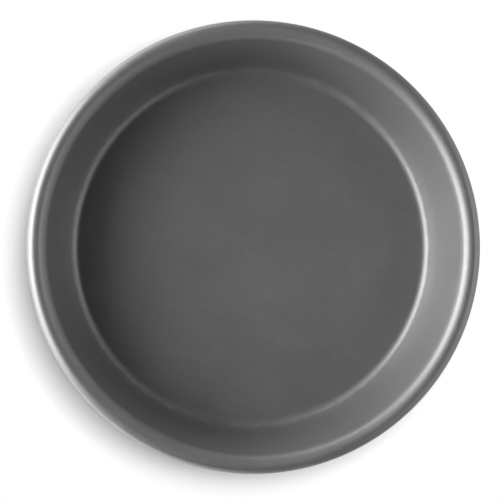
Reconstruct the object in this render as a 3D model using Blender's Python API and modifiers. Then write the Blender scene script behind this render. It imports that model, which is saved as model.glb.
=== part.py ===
"""Deep dish pizza pan: 9 inches across the mouth, 2 inches deep.

The pan is drawn from one round blank of aluminium sheet. Its wall leans out, flares at the
top and curls over a round wire, which stiffens the rim and covers the cut edge.

Units are metres, +Z is up, and the origin is the middle of the underside.
A profile is a list of (r, z) points: r is the distance from the pan's axis.
Angles in a profile run from straight up, and grow as they turn outwards and down.
"""

import math

import bmesh
import bpy

MM = 0.001
INCH = 0.0254

# The drawn sheet
SHEET = 1.6 * MM
MOUTH_DIAMETER = 9.0 * INCH  # inside, where the wall meets the flare
DEPTH = 2.0 * INCH  # from the floor up to the crest of the rim
WALL_LEAN = math.radians(11.5)  # from upright
FLOOR_BEND_RADIUS = 6.3 * MM  # inside the pan
WALL_FOOT_RADIUS = 26.0 * MM  # the gentle curve from the floor bend into the straight wall
WALL_FOOT_TURN = math.radians(22.0)

# The rim and its wire
WIRE_DIAMETER = 4.76 * MM
WIRE_CLEARANCE = 0.3 * MM  # between the wire and the sheet curled round it
WIRE_END_GAP = 2.0 * MM  # between the two cut ends of the hoop
FLARE_EXTRA_RADIUS = 2.9 * MM  # how much wider the flare bends than the curl
CURL_START = math.radians(-8.0)  # where the flare runs into the curl
CURL_EDGE_GAP = 0.7 * MM  # from the curl's cut edge to the wall behind it

# Facets
TURN_STEPS = 96
FLOOR_BEND_STEPS = 5
WALL_FOOT_STEPS = 3
FLARE_STEPS = 5
CURL_STEPS = 12
WIRE_BEVEL_RESOLUTION = 4  # a tube of twelve sides
SMOOTH_ANGLE = math.radians(40.0)
MERGE_DISTANCE = 0.00001

# Sizes that follow from those above. Every radius is of the cooking side of the sheet.
QUARTER_TURN = math.radians(90.0)
HALF_TURN = math.radians(180.0)
CURL_RADIUS = WIRE_DIAMETER / 2 + WIRE_CLEARANCE + SHEET
FLARE_RADIUS = CURL_RADIUS + FLARE_EXTRA_RADIUS
CREST_HEIGHT = SHEET + DEPTH
WIRE_HEIGHT = CREST_HEIGHT - CURL_RADIUS
FLARE_HEIGHT = WIRE_HEIGHT - FLARE_EXTRA_RADIUS * math.cos(CURL_START)
FLARE_CENTRE_RADIUS = MOUTH_DIAMETER / 2 + FLARE_RADIUS * math.cos(WALL_LEAN)
CREST_RADIUS = FLARE_CENTRE_RADIUS + FLARE_EXTRA_RADIUS * math.sin(CURL_START)


def wall_foot():
    """How far out and up from the edge of the flat floor the straight wall starts."""
    turn = QUARTER_TURN - WALL_LEAN
    bend_turn = turn - WALL_FOOT_TURN
    out = FLOOR_BEND_RADIUS * math.sin(bend_turn)
    out += WALL_FOOT_RADIUS * (math.sin(turn) - math.sin(bend_turn))
    up = FLOOR_BEND_RADIUS * (1 - math.cos(bend_turn))
    up += WALL_FOOT_RADIUS * (math.cos(bend_turn) - math.cos(turn))
    return out, up


def floor_radius():
    """The radius of the flat floor, found by running the straight wall down from the mouth."""
    out, up = wall_foot()
    wall_top = FLARE_HEIGHT + FLARE_RADIUS * math.sin(WALL_LEAN)
    wall_run = (wall_top - SHEET - up) * math.tan(WALL_LEAN)
    return MOUTH_DIAMETER / 2 - wall_run - out


def curl_end():
    """The angle of the curl's cut edge, which stops short of the wall."""
    centre_offset = FLARE_EXTRA_RADIUS * math.sin(WALL_LEAN - CURL_START)
    centre_to_wall = FLARE_RADIUS - SHEET - centre_offset
    reach = (centre_to_wall - CURL_EDGE_GAP) / CURL_RADIUS
    return HALF_TURN + WALL_LEAN + math.asin(max(-1.0, min(1.0, reach)))


def moved(point, distance, angle):
    """The point at a distance and an angle from another one."""
    return (point[0] + distance * math.sin(angle), point[1] + distance * math.cos(angle))


def arc(centre, radius, start, end, steps):
    """Points along an arc."""
    return [moved(centre, radius, start + (end - start) * step / steps) for step in range(steps + 1)]


def pan_profile():
    """The sheet's section, along the cooking side from the middle, round the cut edge and back."""
    wall_side = QUARTER_TURN + WALL_LEAN
    foot_side = wall_side + WALL_FOOT_TURN
    flare_side = WALL_LEAN - QUARTER_TURN
    bend_centre = (floor_radius(), SHEET + FLOOR_BEND_RADIUS)
    foot_centre = moved(bend_centre, FLOOR_BEND_RADIUS - WALL_FOOT_RADIUS, foot_side)
    flare_centre = (FLARE_CENTRE_RADIUS, FLARE_HEIGHT)
    curl_centre = (CREST_RADIUS, WIRE_HEIGHT)
    end = curl_end()

    inside = [(0.0, SHEET)]
    inside += arc(bend_centre, FLOOR_BEND_RADIUS, HALF_TURN, foot_side, FLOOR_BEND_STEPS)
    inside += arc(foot_centre, WALL_FOOT_RADIUS, foot_side, wall_side, WALL_FOOT_STEPS)[1:]
    inside += arc(flare_centre, FLARE_RADIUS, flare_side, CURL_START, FLARE_STEPS)
    inside += arc(curl_centre, CURL_RADIUS, CURL_START, end, CURL_STEPS)[1:]

    outside = arc(curl_centre, CURL_RADIUS - SHEET, end, CURL_START, CURL_STEPS)
    outside += arc(flare_centre, FLARE_RADIUS - SHEET, CURL_START, flare_side, FLARE_STEPS)[1:]
    outside += arc(foot_centre, WALL_FOOT_RADIUS + SHEET, wall_side, foot_side, WALL_FOOT_STEPS)
    outside += arc(bend_centre, FLOOR_BEND_RADIUS + SHEET, foot_side, HALF_TURN, FLOOR_BEND_STEPS)[1:]
    outside += [(0.0, 0.0)]
    return inside + outside


def finish(name, colour, roughness, metallic):
    """A material with one plain finish."""
    material = bpy.data.materials.new(name)
    material.use_nodes = True
    shader = material.node_tree.nodes["Principled BSDF"]
    shader.inputs["Base Color"].default_value = (*colour, 1.0)
    shader.inputs["Roughness"].default_value = roughness
    shader.inputs["Metallic"].default_value = metallic
    material.diffuse_color = (*colour, 1.0)
    return material


def turned(name, profile):
    """A mesh object made by turning a profile once round the Z axis."""
    outline = bpy.data.meshes.new(name + "_outline")
    drawing = bmesh.new()
    corners = [drawing.verts.new((r, 0.0, z)) for r, z in profile]
    for first, second in zip(corners, corners[1:]):
        drawing.edges.new((first, second))
    drawing.to_mesh(outline)
    drawing.free()

    blank = bpy.data.objects.new(name + "_blank", outline)
    bpy.context.scene.collection.objects.link(blank)
    turn = blank.modifiers.new("Turn", "SCREW")
    turn.axis = "Z"
    turn.steps = TURN_STEPS
    turn.render_steps = TURN_STEPS
    turn.use_merge_vertices = True
    turn.merge_threshold = MERGE_DISTANCE

    evaluated = blank.evaluated_get(bpy.context.evaluated_depsgraph_get())
    mesh = bpy.data.meshes.new_from_object(evaluated)
    mesh.name = name
    mesh.shade_smooth()
    mesh.set_sharp_from_angle(angle=SMOOTH_ANGLE)
    bpy.data.objects.remove(blank)
    bpy.data.meshes.remove(outline)
    return bpy.data.objects.new(name, mesh)


def make_pan_shell():
    """The whole drawn sheet: floor, wall, flare and curl."""
    shell = turned("pan_shell", pan_profile())
    shell.data.materials.append(finish("hard_anodised_aluminium", (0.13, 0.13, 0.13), 0.42, 0.85))
    return shell


def make_rim_wire():
    """The wire hoop inside the curl, with its two cut ends meeting at the back of the pan."""
    curve = bpy.data.curves.new("rim_wire", "CURVE")
    curve.dimensions = "3D"
    curve.bevel_depth = WIRE_DIAMETER / 2
    curve.bevel_resolution = WIRE_BEVEL_RESOLUTION
    curve.use_fill_caps = True

    half_gap = WIRE_END_GAP / 2 / CREST_RADIUS
    start = QUARTER_TURN + half_gap
    turn = 2 * (HALF_TURN - half_gap)
    spline = curve.splines.new("POLY")
    spline.points.add(TURN_STEPS)
    for step, point in enumerate(spline.points):
        angle = start + turn * step / TURN_STEPS
        point.co = (CREST_RADIUS * math.cos(angle), CREST_RADIUS * math.sin(angle), WIRE_HEIGHT, 1.0)
    spline.use_smooth = True

    wire = bpy.data.objects.new("rim_wire", curve)
    wire.data.materials.append(finish("bare_aluminium", (0.62, 0.63, 0.64), 0.35, 1.0))
    return wire


def main():
    for thing in list(bpy.data.objects):
        bpy.data.objects.remove(thing)
    collection = bpy.data.collections.new("deep_dish_pizza_pan")
    bpy.context.scene.collection.children.link(collection)
    pan = bpy.data.objects.new("deep_dish_pizza_pan", None)
    collection.objects.link(pan)
    for piece in (make_pan_shell(), make_rim_wire()):
        collection.objects.link(piece)
        piece.parent = pan


main()
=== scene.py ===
"""Deep dish pizza pan of hard-anodised aluminium sheet, seen from above.

The pan is drawn from one round blank, and its rim is curled over a hoop of round wire.
Lengths are metres, +Z is up, and the origin is the middle of the underside.
"""

import math

import bpy
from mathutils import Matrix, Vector


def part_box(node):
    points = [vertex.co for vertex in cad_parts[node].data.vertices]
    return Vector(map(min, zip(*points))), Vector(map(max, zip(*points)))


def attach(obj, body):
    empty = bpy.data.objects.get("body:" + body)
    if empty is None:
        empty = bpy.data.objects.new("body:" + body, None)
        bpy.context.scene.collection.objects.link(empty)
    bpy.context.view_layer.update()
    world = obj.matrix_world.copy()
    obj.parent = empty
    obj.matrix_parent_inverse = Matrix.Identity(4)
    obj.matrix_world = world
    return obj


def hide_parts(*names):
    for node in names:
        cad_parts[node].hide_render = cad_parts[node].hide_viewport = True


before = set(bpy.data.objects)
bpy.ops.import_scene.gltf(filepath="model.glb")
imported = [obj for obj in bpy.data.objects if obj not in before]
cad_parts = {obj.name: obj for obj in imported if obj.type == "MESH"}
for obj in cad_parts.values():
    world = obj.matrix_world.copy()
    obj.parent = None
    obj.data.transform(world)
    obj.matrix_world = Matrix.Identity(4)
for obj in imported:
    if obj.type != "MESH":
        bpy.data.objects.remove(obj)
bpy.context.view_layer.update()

bl_info = {
    "name": "Deep dish pizza pan",
    "version": (1, 0, 0),
    "blender": (4, 5, 0),
    "location": "3D View > Sidebar > Pizza pan",
    "description": "Makes a drawn sheet pan with a wired rim, and the stage that it stands on",
    "category": "Object",
}

MM = 0.001
RIGHT_ANGLE = math.radians(90.0)
FULL_TURN = math.radians(360.0)

# Facets of the pan and the wire
PAN_FLOOR_PIECES = 8
BEND_STEPS = 12
FOOT_STEPS = 8
WALL_PIECES = 5
FLARE_STEPS = 16
ROLL_STEPS = 42
WIRE_SIDES = 24
HOOP_STEPS = 240
MERGE_DISTANCE = 0.001 * MM
SHARP_ANGLE = math.radians(50.0)  # an edge sharper than this is rounded off
SMOOTH_ANGLE = math.radians(40.0)

# Finishes
CLOUD_SIZE = 45.0 * MM
SMALL_CLOUD_SIZE = 9.0 * MM
FINE_LINE_SHARE = 0.35  # of a wide line's width
ROLLING_ANGLE = math.radians(-30.0)
ROLLING_STRETCH = 14.0  # how many times longer than wide the sheet's lines are
ROLLED_LINE_WIDTH = 1.1 * MM
SCRATCH_ANGLES = (math.radians(20.0), math.radians(75.0), math.radians(140.0))
SCRATCH_LENGTH = 30.0 * MM
SCRATCH_WIDTH = 0.35 * MM
SCRATCH_PATCH_SIZE = 30.0 * MM
WEAR_PATCH_SIZE = 5.0 * MM
BEND_WEAR_START = 24.0 * MM  # in from the outside of the rim, as are the next two
BEND_WEAR_FULL = 22.5 * MM
ROLL_WEAR_START = 0.35 * MM
SPECK_SPACING = 11.0 * MM
LAYER_WEIGHT = 0.96
LAYER_IOR = 1.8
WIRE_COLOUR = (0.62, 0.63, 0.64)
WIRE_ROUGHNESS = 0.34
WIRE_GRAIN = 0.25 * MM
WIRE_LINE_WIDTH = 0.3 * MM
BUMP_HEIGHT = 0.02 * MM
WHITE = (1.0, 1.0, 1.0, 1.0)

# The stage's floor. In the metal its colour holds painted light: painted shade at the right, and
# painted softbox light that grows lighter to the left.
STAGE_DROP = 0.05 * MM  # below the pan
STAGE_RADIUS = 2.4
STAGE_EDGE_RADIUS = 0.8
# Painted light: the reflected floor's tone stands in for the softbox's light, which the lamps' linking
# keeps off the floor.
DARK_UP_TO_X = 50.0 * MM
LIGHTEST_AT_X = -150.0 * MM
SHADED_IN_METAL = 0.4
PAINTED_LIGHT_GAIN = 0.85  # what the dark tone gains up to the lightest place

# The softbox is brightest in the middle and fades at the top, so it is made of three lamps.
# Each has a distance from the pan, a width, the heights of its lower and upper edges, and its
# share of the softbox's brightness.
SOFTBOX_ANGLE = math.radians(175.0)
SOFTBOX_PARTS = {
    "softbox": (0.7, 1.1, 0.0, 1.04, 1.0),
    "softbox_bright_middle": (0.69, 0.5, 0.15, 0.75, 0.55),
    "softbox_fading_top": (0.7, 1.2, 1.04, 1.57, 0.22),
}

# Each card has an angle seen from above, a distance from the pan, a width, the heights of its
# lower and upper edges, and a brightness, where 1 is white.
CARDS = {
    "back_left_card": (math.radians(115.0), 0.9, 0.5, 0.0, 0.55, 0.95),
    "back_right_card": (math.radians(45.0), 0.9, 0.5, 0.4, 1.1, 0.28),
    "front_right_card": (math.radians(315.0), 0.9, 0.5, 0.4, 1.1, 0.74),
    "right_card": (0.0, 0.9, 0.7, 0.4, 1.3, 1.3),
    "right_strip": (0.0, 0.3, 0.6, 0.0, 0.12, 0.6),
}
FLOOR_LAMP_PLACE = (0.64, 0.44, 4.4)
FLOOR_LAMP_SIZE = (2.2, 2.2)
FLOOR_LAMP_BRIGHTNESS = 17.1

# The camera, and the point that it looks at, which is level with the middle of the rim's wire
CAMERA_X = -45.2 * MM
CAMERA_Y = -10.5 * MM
CAMERA_ABOVE_RIM = 957.0 * MM
AIM_X = -2.58 * MM
AIM_Y = -1.74 * MM
LENS_MM = 125.0
SENSOR_WIDTH_MM = 36.0
NEAREST_SEEN = 0.01
FARTHEST_SEEN = 20.0


class PanSizes(bpy.types.PropertyGroup):
    """The sizes of the drawn sheet. Every radius is of its cooking side."""

    sheet: bpy.props.FloatProperty(
        name="Sheet", description="Thickness of the aluminium sheet",
        default=1.6 * MM, unit="LENGTH")
    lean: bpy.props.FloatProperty(
        name="Wall lean", description="How far the wall leans out from upright",
        default=math.radians(11.5), subtype="ANGLE")
    bend: bpy.props.FloatProperty(
        name="Floor bend", description="Radius of the tight bend round the floor",
        default=6.3 * MM, unit="LENGTH")
    foot: bpy.props.FloatProperty(
        name="Wall foot",
        description="Radius of the gentle curve from the floor bend into the straight wall",
        default=26.0 * MM, unit="LENGTH")
    foot_turn: bpy.props.FloatProperty(
        name="Foot turn", description="Angle that the wall's foot curves through",
        default=math.radians(22.0), subtype="ANGLE")
    flare: bpy.props.FloatProperty(
        name="Flare", description="Radius of the bend from the wall up to the roll of the rim",
        default=7.18 * MM, unit="LENGTH")
    roll: bpy.props.FloatProperty(
        name="Roll", description="Radius of the sheet curled round the wire",
        default=4.28 * MM, unit="LENGTH")
    roll_start: bpy.props.FloatProperty(
        name="Roll start", description="Angle before the crest at which the flare runs into the roll",
        default=math.radians(8.0), subtype="ANGLE")
    edge_gap: bpy.props.FloatProperty(
        name="Slit", description="Gap from the curl's cut edge to the wall behind it",
        default=0.7 * MM, unit="LENGTH")
    edge_round: bpy.props.FloatProperty(
        name="Edge rounding", description="Rounding of the sheet's cut edge",
        default=0.35 * MM, unit="LENGTH")
    turn_steps: bpy.props.IntProperty(
        name="Turn steps", description="Steps that the section is turned in, once round the pan",
        default=288, min=24)


class PanFinish(bpy.types.PropertyGroup):
    """The look of the hard-anodised sheet: metal under a clear, hard layer."""

    colour: bpy.props.FloatVectorProperty(
        name="Colour", description="Colour of the hard-anodised surface",
        default=(0.26, 0.26, 0.26), size=3, subtype="COLOR", min=0.0, max=1.0)
    metallic: bpy.props.FloatProperty(
        name="Metallic", description="How much of the sheet's shine is metal's",
        default=0.5, min=0.0, max=1.0, subtype="FACTOR")
    roughness: bpy.props.FloatProperty(
        name="Roughness", description="How broad the metal's shine is",
        default=0.5, min=0.0, max=1.0, subtype="FACTOR")
    layer_roughness: bpy.props.FloatProperty(
        name="Layer roughness", description="How broad the shine of the clear layer is",
        default=0.32, min=0.0, max=1.0, subtype="FACTOR")
    grain: bpy.props.FloatProperty(
        name="Grain", description="Size of the satin grain",
        default=0.7 * MM, unit="LENGTH")


class WireSizes(bpy.types.PropertyGroup):
    """The sizes of the hoop inside the curl."""

    thickness: bpy.props.FloatProperty(
        name="Wire", description="Diameter of the round wire",
        default=4.76 * MM, unit="LENGTH")
    end_gap: bpy.props.FloatProperty(
        name="End gap", description="Gap between the hoop's two cut ends, at the back",
        default=2.0 * MM, unit="LENGTH")
    end_round: bpy.props.FloatProperty(
        name="End rounding", description="Rounding of the hoop's cut ends",
        default=0.3 * MM, unit="LENGTH")


class StageLook(bpy.types.PropertyGroup):
    """The floor and the light."""

    floor_colour: bpy.props.FloatVectorProperty(
        name="Floor", description="Colour of the floor and its upturned edge",
        default=(0.8, 0.8, 0.8), size=3, subtype="COLOR", min=0.0, max=1.0)
    floor_glow: bpy.props.FloatProperty(
        name="Floor glow", description="How brightly the floor shines by itself",
        default=0.02, min=0.0, max=1.0)
    softbox: bpy.props.FloatProperty(
        name="Softbox", description="Brightness of the large softbox at the left, where 1 is white",
        default=3.42, min=0.0)


def deselect_all():
    """Leaves edit mode and selects nothing, so that the next step starts afresh."""
    if bpy.context.object and bpy.context.object.mode != "OBJECT":
        bpy.ops.object.mode_set(mode="OBJECT")
    bpy.ops.object.select_all(action="DESELECT")


def start_point(name, place):
    """Begins a drawing, in edit mode, with one point: a small plane whose corners are merged."""
    deselect_all()
    bpy.ops.mesh.primitive_plane_add(size=MM, location=place)
    piece = bpy.context.object
    piece.name = name
    piece.data.name = name
    bpy.ops.object.transform_apply(location=True, rotation=True, scale=True)
    bpy.ops.object.mode_set(mode="EDIT")
    bpy.ops.mesh.select_mode(type="VERT")
    bpy.ops.mesh.select_all(action="SELECT")
    bpy.ops.mesh.merge(type="CENTER")
    return piece


def draw_straight(move, pieces):
    """Draws on from the last point in a straight line, in a number of equal pieces."""
    for _ in range(pieces):
        bpy.ops.mesh.extrude_region_move(
            TRANSFORM_OT_translate={"value": (move[0] / pieces, 0.0, move[1] / pieces)})


def draw_arc(centre, angle, steps):
    """Draws on from the last point along an arc. A positive angle turns anticlockwise, seen from -Y."""
    bpy.ops.mesh.spin(
        steps=steps, angle=angle, center=(centre[0], 0.0, centre[1]), axis=(0.0, 1.0, 0.0))


def turn_section(steps):
    """Turns the drawn section once round the Z axis and closes its seam and its poles."""
    bpy.ops.mesh.select_all(action="SELECT")
    bpy.ops.mesh.spin(steps=steps, angle=FULL_TURN, center=(0.0, 0.0, 0.0), axis=(0.0, 0.0, 1.0))
    bpy.ops.mesh.select_all(action="SELECT")
    bpy.ops.mesh.remove_doubles(threshold=MERGE_DISTANCE)
    bpy.ops.mesh.normals_make_consistent(inside=False)


def soften_edges(piece, width, segments):
    """Rounds the piece's sharp edges off, and shades the rest of it smooth."""
    soften = piece.modifiers.new("Rounded edges", "BEVEL")
    soften.width = width
    soften.segments = segments
    soften.limit_method = "ANGLE"
    soften.angle_limit = SHARP_ANGLE
    bpy.ops.object.modifier_apply(modifier=soften.name)
    bpy.ops.object.shade_smooth_by_angle(angle=SMOOTH_ANGLE)


class PAN_OT_sheet(bpy.types.Operator):
    """Draws the sheet's section, turns it into the pan and gives the sheet its thickness"""

    bl_idname = "pan.sheet"
    bl_label = "Make the sheet"

    def execute(self, context):
        sizes = context.scene.pan_sizes
        low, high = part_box("pan_shell")
        floor_height = low.z + sizes.sheet
        piece = start_point("drawn_sheet", (0.0, 0.0, floor_height))
        self.draw_section(sizes, low, high)
        turn_section(sizes.turn_steps)
        bpy.ops.object.mode_set(mode="OBJECT")

        floor_faces = [f for f in piece.data.polygons if f.center.z < floor_height + MERGE_DISTANCE]
        if min(f.normal.z for f in floor_faces) < 0.0:
            raise RuntimeError("the cooking side has to face up before the sheet gets its thickness")
        thicken = piece.modifiers.new("Sheet thickness", "SOLIDIFY")
        thicken.thickness = sizes.sheet
        thicken.offset = -1.0
        thicken.use_even_offset = True
        bpy.ops.object.modifier_apply(modifier=thicken.name)
        soften_edges(piece, sizes.edge_round, segments=3)

        piece.data.materials.append(hard_anodised(context.scene.pan_finish, sizes, low, high))
        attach(piece, "root")
        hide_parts("pan_shell")
        return {"FINISHED"}

    def draw_section(self, sizes, low, high):
        """Draws the cooking side, from the middle of the floor out to the curl's cut edge."""
        roll_middle = (high.x - sizes.roll, high.z - sizes.roll)
        flare_middle = (
            roll_middle[0] + (sizes.flare - sizes.roll) * math.sin(sizes.roll_start),
            roll_middle[1] - (sizes.flare - sizes.roll) * math.cos(sizes.roll_start))
        wall_top = (
            flare_middle[0] - sizes.flare * math.cos(sizes.lean),
            flare_middle[1] + sizes.flare * math.sin(sizes.lean))
        wall_angle = RIGHT_ANGLE - sizes.lean
        bend_angle = wall_angle - sizes.foot_turn
        floor_height = low.z + sizes.sheet
        bend_run = sizes.bend * math.sin(bend_angle)
        bend_top = floor_height + sizes.bend * (1.0 - math.cos(bend_angle))
        foot_run = sizes.foot * (math.sin(wall_angle) - math.sin(bend_angle))
        foot_top = bend_top + sizes.foot * (math.cos(bend_angle) - math.cos(wall_angle))
        wall_rise = wall_top[1] - foot_top
        wall_run = wall_rise * math.tan(sizes.lean)
        floor_radius = wall_top[0] - wall_run - foot_run - bend_run
        bend_middle = (floor_radius, floor_height + sizes.bend)
        foot_middle = (
            floor_radius + bend_run - sizes.foot * math.sin(bend_angle),
            bend_top + sizes.foot * math.cos(bend_angle))

        draw_straight((floor_radius, 0.0), PAN_FLOOR_PIECES)
        draw_arc(bend_middle, bend_angle, BEND_STEPS)
        draw_arc(foot_middle, sizes.foot_turn, FOOT_STEPS)
        draw_straight((wall_run, wall_rise), WALL_PIECES)
        draw_arc(flare_middle, sizes.roll_start - wall_angle, FLARE_STEPS)
        draw_arc(roll_middle, -sizes.roll_start - self.curl_angle(sizes), ROLL_STEPS)

    def curl_angle(self, sizes):
        """How far the sheet curls from the crest, so that its cut edge stops short of the wall."""
        tuck = (sizes.flare - sizes.roll) * math.sin(sizes.lean + sizes.roll_start)
        roll_to_wall = sizes.flare - tuck - sizes.sheet
        reach = (roll_to_wall - sizes.edge_gap) / sizes.roll
        return 2.0 * RIGHT_ANGLE + sizes.lean + math.asin(max(-1.0, min(1.0, reach)))


class PAN_OT_wire(bpy.types.Operator):
    """Bends the round wire into the hoop that the rim is curled over"""

    bl_idname = "pan.wire"
    bl_label = "Make the rim wire"

    def execute(self, context):
        sizes = context.scene.wire_sizes
        low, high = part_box("rim_wire")
        hoop_radius = high.x - sizes.thickness / 2.0
        height = (low.z + high.z) / 2.0
        half_gap = sizes.end_gap / 2.0 / hoop_radius
        start = RIGHT_ANGLE + half_gap

        deselect_all()
        bpy.ops.mesh.primitive_circle_add(
            vertices=WIRE_SIDES, radius=sizes.thickness / 2.0, fill_type="NGON",
            location=(hoop_radius * math.cos(start), hoop_radius * math.sin(start), height),
            rotation=(RIGHT_ANGLE, 0.0, start))
        piece = context.object
        piece.name = "rim_hoop"
        piece.data.name = "rim_hoop"
        bpy.ops.object.transform_apply(location=True, rotation=True, scale=True)
        bpy.ops.object.mode_set(mode="EDIT")
        bpy.ops.mesh.select_all(action="SELECT")
        bpy.ops.mesh.spin(
            steps=HOOP_STEPS, angle=-(FULL_TURN - 2.0 * half_gap),
            center=(0.0, 0.0, 0.0), axis=(0.0, 0.0, 1.0))
        bpy.ops.mesh.select_all(action="SELECT")
        bpy.ops.mesh.normals_make_consistent(inside=False)
        bpy.ops.object.mode_set(mode="OBJECT")
        soften_edges(piece, sizes.end_round, segments=2)

        piece.data.materials.append(drawn_wire())
        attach(piece, "root")
        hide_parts("rim_wire")
        return {"FINISHED"}


def feed(tree, node, inputs):
    """Gives each of a node's inputs a plain value, or links it to the socket that feeds it."""
    for name, value in inputs.items():
        if isinstance(value, bpy.types.NodeSocket):
            tree.links.new(value, node.inputs[name])
        else:
            node.inputs[name].default_value = value


def add_node(tree, kind, inputs=None, **settings):
    """Adds a node with its settings and what feeds its inputs."""
    node = tree.nodes.new(kind)
    for name, value in settings.items():
        setattr(node, name, value)
    feed(tree, node, inputs or {})
    return node


def calculate(tree, operation, *values):
    """A Math node's result."""
    return add_node(tree, "ShaderNodeMath", dict(enumerate(values)), operation=operation).outputs[0]


def weighted_sum(tree, base, *parts):
    """The base plus each part's value times its weight."""
    total = base
    for value, weight in parts:
        total = calculate(tree, "ADD", total, calculate(tree, "MULTIPLY", value, weight))
    return total


def fade(tree, value, start, end):
    """Runs smoothly from 0 to 1 while the value goes from start to end."""
    node = add_node(
        tree, "ShaderNodeMapRange", {"Value": value, "From Min": start, "From Max": end},
        interpolation_type="SMOOTHSTEP")
    return node.outputs["Result"]


def noise(tree, place, size, detail=2.0):
    """Soft noise whose blobs are about as wide as the size. Its middle value is 0.5."""
    if isinstance(size, bpy.types.NodeSocket):
        scale = calculate(tree, "DIVIDE", 1.0, size)
    else:
        scale = 1.0 / size
    node = add_node(tree, "ShaderNodeTexNoise", {"Vector": place, "Scale": scale, "Detail": detail})
    return node.outputs["Fac"]


def stretched(tree, place, angle, length, width):
    """The place, squeezed so that a pattern of size 1 comes out as strokes of this length and width."""
    node = add_node(
        tree, "ShaderNodeMapping",
        {"Vector": place, "Rotation": (0.0, 0.0, angle), "Scale": (length, width, 1.0)},
        vector_type="TEXTURE")
    return node.outputs["Vector"]


def shaded(tree, colour, *changes):
    """The colour, made lighter or darker by each change times its weight. 0.1 is a tenth lighter."""
    brightness = weighted_sum(tree, 1.0, *changes)
    node = add_node(
        tree, "ShaderNodeVectorMath", {0: tuple(colour), "Scale": brightness}, operation="SCALE")
    return node.outputs["Vector"]


def bumped(tree, height):
    """The surface's normal where the height raises or sinks it."""
    node = add_node(
        tree, "ShaderNodeBump", {"Strength": 1.0, "Distance": BUMP_HEIGHT, "Height": height})
    return node.outputs["Normal"]


def distance_out(tree, axes):
    """How far the place is from the pan's axis."""
    squares = [calculate(tree, "MULTIPLY", axes[name], axes[name]) for name in ("X", "Y")]
    return calculate(tree, "SQRT", calculate(tree, "ADD", *squares))


def new_group(name, inputs, outputs):
    """A shader node group with named sockets, and its inner ends."""
    group = bpy.data.node_groups.new(name, "ShaderNodeTree")
    for label, kind in inputs.items():
        group.interface.new_socket(label, in_out="INPUT", socket_type=kind)
    for label in outputs:
        group.interface.new_socket(label, in_out="OUTPUT", socket_type="NodeSocketFloat")
    return group, group.nodes.new("NodeGroupInput").outputs, group.nodes.new("NodeGroupOutput").inputs


def placed_group(tree, name, builder, inputs):
    """Places a group in a material's tree, and builds it the first time that it is used."""
    group = bpy.data.node_groups.get(name) or builder(name)
    return add_node(tree, "ShaderNodeGroup", inputs, node_tree=group).outputs


def build_satin_grain(name):
    """Fine satin grain for the bump, and slow clouds in the colour. Both are 0 on average."""
    group, given, result = new_group(
        name, {"Place": "NodeSocketVector", "Grain size": "NodeSocketFloat"}, ("Grain", "Clouds"))
    fine = noise(group, given["Place"], given["Grain size"], detail=3.0)
    broad = noise(group, given["Place"], CLOUD_SIZE)
    middle = noise(group, given["Place"], SMALL_CLOUD_SIZE)
    clouds = weighted_sum(group, broad, (middle, 0.5))
    group.links.new(calculate(group, "SUBTRACT", fine, 0.5), result["Grain"])
    group.links.new(calculate(group, "SUBTRACT", clouds, 0.75), result["Clouds"])
    return group


def build_drawn_lines(name):
    """Faint lines, wide ones and fine ones, as rolling and drawing leave them. 0 on average."""
    group, given, result = new_group(
        name, {"Place": "NodeSocketVector", "Width": "NodeSocketFloat"}, ("Lines",))
    wide = noise(group, given["Place"], given["Width"], detail=1.0)
    fine_width = calculate(group, "MULTIPLY", given["Width"], FINE_LINE_SHARE)
    fine = noise(group, given["Place"], fine_width, detail=1.0)
    both = calculate(group, "ADD", wide, fine)
    group.links.new(calculate(group, "SUBTRACT", both, 1.0), result["Lines"])
    return group


def build_scuffs(name):
    """Thin light scratches in patches, from sliding over racks. 1 in a scratch and 0 beside it."""
    group, given, result = new_group(name, {"Place": "NodeSocketVector"}, ("Scuffs",))
    strokes = 0.0
    for angle in SCRATCH_ANGLES:
        place = stretched(group, given["Place"], angle, SCRATCH_LENGTH, SCRATCH_WIDTH)
        stroke = fade(group, noise(group, place, 1.0, detail=0.0), start=0.74, end=0.8)
        strokes = calculate(group, "MAXIMUM", strokes, stroke)
    patches = fade(group, noise(group, given["Place"], SCRATCH_PATCH_SIZE), start=0.45, end=0.6)
    group.links.new(calculate(group, "MULTIPLY", strokes, patches), result["Scuffs"])
    return group


def new_material(name):
    """A new material, its tree and shader, the place on the object, and that place's X, Y and Z."""
    material = bpy.data.materials.new(name)
    material.use_nodes = True
    tree = material.node_tree
    place = add_node(tree, "ShaderNodeTexCoord").outputs["Object"]
    axes = add_node(tree, "ShaderNodeSeparateXYZ", {"Vector": place}).outputs
    return material, tree, tree.nodes["Principled BSDF"], place, axes


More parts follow.
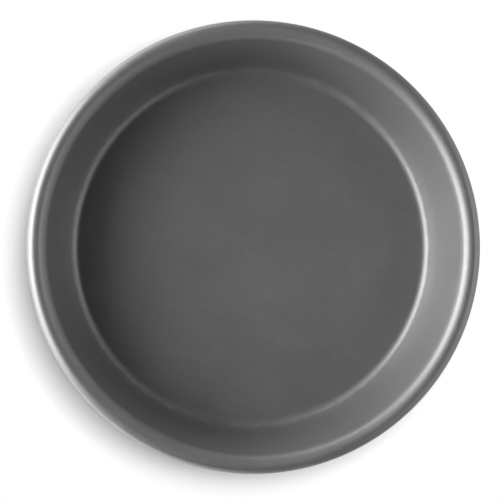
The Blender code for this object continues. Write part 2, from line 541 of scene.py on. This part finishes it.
def hard_anodised(finish, sizes, low, high):
    """Dark satin metal with the grain of rolled sheet, worn a little where the pan rubs."""
    material, tree, shader, place, axes = new_material("satin_hard_anodised")
    satin = placed_group(
        tree, "satin_grain", build_satin_grain, {"Place": place, "Grain size": finish.grain})
    rolling = stretched(tree, place, ROLLING_ANGLE, ROLLING_STRETCH, 1.0)
    lines = placed_group(
        tree, "drawn_lines", build_drawn_lines, {"Place": rolling, "Width": ROLLED_LINE_WIDTH})["Lines"]
    scuffs = placed_group(tree, "scuffs", build_scuffs, {"Place": place})["Scuffs"]

    under = fade(tree, axes["Z"], low.z + 0.4 * sizes.sheet, low.z)
    rubbed = rubbed_places(tree, place, axes, sizes, low, high)
    scratched = calculate(tree, "MULTIPLY", scuffs, calculate(tree, "ADD", under, rubbed))

    feed(tree, shader, {
        "Base Color": shaded(
            tree, finish.colour, (satin["Clouds"], 0.2), (satin["Grain"], 0.36), (lines, 0.18),
            (rubbed, 0.35), (scratched, 0.5), (specks(tree, place), 0.9)),
        "Metallic": finish.metallic,
        "Roughness": weighted_sum(tree, finish.roughness, (satin["Clouds"], 0.1), (lines, 0.08)),
        "Coat Weight": weighted_sum(tree, LAYER_WEIGHT, (satin["Grain"], -0.25), (scratched, -0.5)),
        "Coat Roughness": finish.layer_roughness,
        "Coat IOR": LAYER_IOR,
        "Normal": bumped(tree, weighted_sum(tree, satin["Grain"], (lines, 0.5), (scratched, -0.6))),
    })
    return material


def rubbed_places(tree, place, axes, sizes, low, high):
    """1 where the pan rubs on things: the outer bend that it stands on and the outside of the roll."""
    out = distance_out(tree, axes)
    uneven = fade(tree, noise(tree, place, WEAR_PATCH_SIZE, detail=3.0), start=0.35, end=0.7)
    stands = fade(tree, axes["Z"], low.z + 4.0 * sizes.sheet, low.z + sizes.sheet)
    outside = fade(tree, out, high.x - BEND_WEAR_START, high.x - BEND_WEAR_FULL)
    bend = calculate(tree, "MULTIPLY", stands, outside)
    roll = fade(tree, out, high.x - ROLL_WEAR_START, high.x)
    return calculate(tree, "MULTIPLY", uneven, calculate(tree, "MAXIMUM", bend, roll))


def specks(tree, place):
    """1 in a few tiny specks, where the layer has a pinhole or a grain of dust."""
    cells = add_node(tree, "ShaderNodeTexVoronoi", {"Vector": place, "Scale": 1.0 / SPECK_SPACING})
    near = fade(tree, cells.outputs["Distance"], start=0.035, end=0.015)
    chosen = add_node(tree, "ShaderNodeSeparateColor", {"Color": cells.outputs["Color"]})
    few = calculate(tree, "GREATER_THAN", chosen.outputs["Red"], 0.6)
    return calculate(tree, "MULTIPLY", near, few)


def drawn_wire():
    """Bare bright wire with the fine lines of the drawing die along it."""
    material, tree, shader, place, axes = new_material("bare_drawn_wire")
    section = add_node(tree, "ShaderNodeCombineXYZ", {"X": distance_out(tree, axes), "Y": axes["Z"]})
    lines = placed_group(
        tree, "drawn_lines", build_drawn_lines,
        {"Place": section.outputs["Vector"], "Width": WIRE_LINE_WIDTH})["Lines"]
    satin = placed_group(
        tree, "satin_grain", build_satin_grain, {"Place": place, "Grain size": WIRE_GRAIN})
    feed(tree, shader, {
        "Base Color": shaded(tree, WIRE_COLOUR, (lines, 0.2), (satin["Clouds"], 0.2)),
        "Metallic": 1.0,
        "Roughness": weighted_sum(tree, WIRE_ROUGHNESS, (lines, 0.2)),
        "Normal": bumped(tree, weighted_sum(tree, lines, (satin["Grain"], 0.3))),
    })
    return material


def matt_floor(look):
    """Matt white that glows a little. In the metal its colour holds painted light: painted shade at the
    right, and painted softbox light that grows lighter to the left.
    """
    material, tree, shader, _, axes = new_material("matt_white_floor")
    # Painted light: the floor that the metal reflects is painted darker at the right and lighter to the
    # left, where the softbox would light it.
    softbox_painted_light = fade(tree, axes["X"], DARK_UP_TO_X, LIGHTEST_AT_X)
    painted_light_in_metal = weighted_sum(tree, SHADED_IN_METAL, (softbox_painted_light, PAINTED_LIGHT_GAIN))
    # The camera sees the plain colour; only reflections get the painted light and shade.
    seen = add_node(tree, "ShaderNodeLightPath").outputs["Is Camera Ray"]
    tone = add_node(tree, "ShaderNodeMapRange", {"Value": seen, "To Min": painted_light_in_metal, "To Max": 1.0})
    colour = add_node(
        tree, "ShaderNodeVectorMath", {0: tuple(look.floor_colour), "Scale": tone.outputs["Result"]},
        operation="SCALE")
    feed(tree, shader, {
        "Base Color": colour.outputs["Vector"],
        "Roughness": 1.0,
        "Specular IOR Level": 0.0,
        "Emission Color": WHITE,
        "Emission Strength": look.floor_glow,
    })
    return material


def soft_lamp(name, place, target, size, brightness):
    """A flat soft lamp that shines towards a target. At a brightness of 1 it looks white."""
    deselect_all()
    bpy.ops.object.light_add(type="AREA", location=place)
    lamp = bpy.context.object
    lamp.name = name
    lamp.data.shape = "RECTANGLE"
    lamp.data.size = size[0]
    lamp.data.size_y = size[1]
    lamp.data.energy = math.pi * size[0] * size[1] * brightness
    lamp.rotation_euler = (Vector(target) - Vector(place)).to_track_quat("-Z", "Y").to_euler()
    return lamp


def upright_lamp(name, angle, distance, width, bottom, top, brightness):
    """An upright soft lamp that faces the pan. The angle is seen from above."""
    middle = (bottom + top) / 2.0
    place = (distance * math.cos(angle), distance * math.sin(angle), middle)
    return soft_lamp(name, place, (0.0, 0.0, middle), (width, top - bottom), brightness)


class PAN_OT_stage(bpy.types.Operator):
    """Lays the floor with its upturned edge, and sets the lamps and the camera"""

    bl_idname = "pan.stage"
    bl_label = "Set the stage"

    def execute(self, context):
        look = context.scene.stage_look
        floor = self.lay_floor(look)
        self.set_world(context)
        self.set_lamps(look, floor)
        self.set_camera(context)
        return {"FINISHED"}

    def lay_floor(self, look):
        """A round floor that turns up at its edge, a hair below the pan."""
        floor = start_point("floor", (0.0, 0.0, -STAGE_DROP))
        draw_straight((STAGE_RADIUS, 0.0), pieces=4)
        draw_arc((STAGE_RADIUS, STAGE_EDGE_RADIUS - STAGE_DROP), RIGHT_ANGLE, steps=16)
        turn_section(steps=96)
        bpy.ops.object.mode_set(mode="OBJECT")
        if floor.data.polygons[0].normal.z < 0.0:
            floor.data.flip_normals()
        bpy.ops.object.shade_smooth()
        floor.data.materials.append(matt_floor(look))
        return floor

    def set_world(self, context):
        """White to the camera, and dark to everything else."""
        world = bpy.data.worlds.new("studio")
        context.scene.world = world
        world.use_nodes = True
        tree = world.node_tree
        seen = add_node(tree, "ShaderNodeLightPath").outputs["Is Camera Ray"]
        feed(tree, tree.nodes["Background"], {"Color": WHITE, "Strength": seen})
        context.scene.view_settings.view_transform = "Standard"

    def set_lamps(self, look, floor):
        """The softbox at the left and the cards light the pan, and one lamp lights only the floor."""
        for_pan = []
        for name, (distance, width, bottom, top, share) in SOFTBOX_PARTS.items():
            brightness = share * look.softbox
            for_pan.append(upright_lamp(name, SOFTBOX_ANGLE, distance, width, bottom, top, brightness))
        for name, card in CARDS.items():
            for_pan.append(upright_lamp(name, *card))
        for_floor = soft_lamp(
            "floor_lamp", FLOOR_LAMP_PLACE, (0.0, 0.0, 0.0), FLOOR_LAMP_SIZE, FLOOR_LAMP_BRIGHTNESS)

        all_but_floor = bpy.data.collections.new("all_but_the_floor")
        all_but_floor.objects.link(floor)
        all_but_floor.collection_objects[0].light_linking.link_state = "EXCLUDE"
        for lamp in for_pan:
            lamp.light_linking.receiver_collection = all_but_floor
        only_floor = bpy.data.collections.new("the_floor")
        only_floor.objects.link(floor)
        for_floor.light_linking.receiver_collection = only_floor

    def set_camera(self, context):
        """Looks down from just left of the pan's middle, and frames the rim."""
        low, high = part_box("rim_wire")
        rim_height = (low.z + high.z) / 2.0
        place = Vector((CAMERA_X, CAMERA_Y, rim_height + CAMERA_ABOVE_RIM))
        aim = Vector((AIM_X, AIM_Y, rim_height))
        deselect_all()
        bpy.ops.object.camera_add(location=place)
        camera = context.object
        camera.name = "photo_camera"
        camera.data.lens = LENS_MM
        camera.data.sensor_width = SENSOR_WIDTH_MM
        camera.data.clip_start = NEAREST_SEEN
        camera.data.clip_end = FARTHEST_SEEN
        look = aim - place
        camera.rotation_euler = (math.asin(look.y / look.length), math.atan2(-look.x, -look.z), 0.0)
        context.scene.camera = camera


class PAN_PT_sidebar(bpy.types.Panel):
    """The settings of the pan and its stage, and the steps that make them"""

    bl_idname = "PAN_PT_sidebar"
    bl_label = "Pizza pan"
    bl_space_type = "VIEW_3D"
    bl_region_type = "UI"
    bl_category = "Pizza pan"

    def draw(self, context):
        for group in GROUPS:
            box = self.layout.box()
            settings = getattr(context.scene, group)
            for name in settings.__annotations__:
                box.prop(settings, name)
        for step in STEPS:
            self.layout.operator(step.bl_idname)


GROUPS = {
    "pan_sizes": PanSizes,
    "pan_finish": PanFinish,
    "wire_sizes": WireSizes,
    "stage_look": StageLook,
}
STEPS = (PAN_OT_sheet, PAN_OT_wire, PAN_OT_stage)
CLASSES = (*GROUPS.values(), *STEPS, PAN_PT_sidebar)


def register():
    for cls in CLASSES:
        bpy.utils.register_class(cls)
    for name, group in GROUPS.items():
        setattr(bpy.types.Scene, name, bpy.props.PointerProperty(type=group))


def unregister():
    for name in GROUPS:
        delattr(bpy.types.Scene, name)
    for cls in reversed(CLASSES):
        bpy.utils.unregister_class(cls)


def main():
    register()
    bpy.ops.pan.sheet()
    bpy.ops.pan.wire()
    bpy.ops.pan.stage()


if __name__ == "__main__":
    main()
